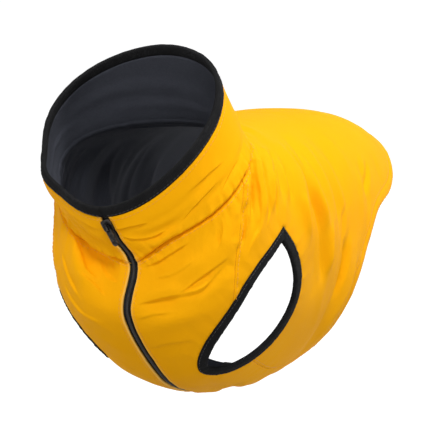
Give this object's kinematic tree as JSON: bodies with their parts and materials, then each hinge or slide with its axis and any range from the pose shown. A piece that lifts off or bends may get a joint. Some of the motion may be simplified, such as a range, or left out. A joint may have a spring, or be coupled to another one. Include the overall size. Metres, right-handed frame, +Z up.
{
  "type": "dog jacket",
  "caption": "Sleeveless zip-front dog jacket with a stand-up collar, bound armholes and a long back, in the hollow shape it has when worn.",
  "frame": {"origin": "on the wearer's back just behind the neck, at the inside of the cloth", "axes": "+Z up, +Y towards the tail, -Y towards the head, +X to the wearer's left"},
  "size_m": [0.1838, 0.3922, 0.2641],
  "materials": {
    "cloth": "yellow woven shell cloth, matt",
    "lining": "dark navy knit, matt",
    "binding": "black ribbed binding, matt",
    "zip_tape": "black woven tape, matt",
    "zip_teeth": "black moulded, satin",
    "zip_metal": "black lacquered, satin"
  },
  "bodies": {
    "jacket": {"back_panel": "cloth", "chest_left": "cloth", "chest_right": "cloth", "collar": "cloth", "collar_lining": "lining", "collar_binding": "binding", "armhole_binding_left": "binding", "armhole_binding_right": "binding", "zip_tape_left": "zip_tape", "zip_tape_right": "zip_tape", "zip_chain": "zip_teeth", "zip_stop": "zip_teeth", "zip_slider": "zip_metal"},
    "zip_pull": {"zip_pull": "zip_metal"}
  },
  "joints": [
    {"name": "pull_hinge", "type": "hinge", "parent": "jacket", "child": "zip_pull", "pos_m": [-0.01422, -0.13349, -0.06457], "axis": [-0.9399, 0.1424, -0.3104], "range_deg": [0, 150]}
  ]
}
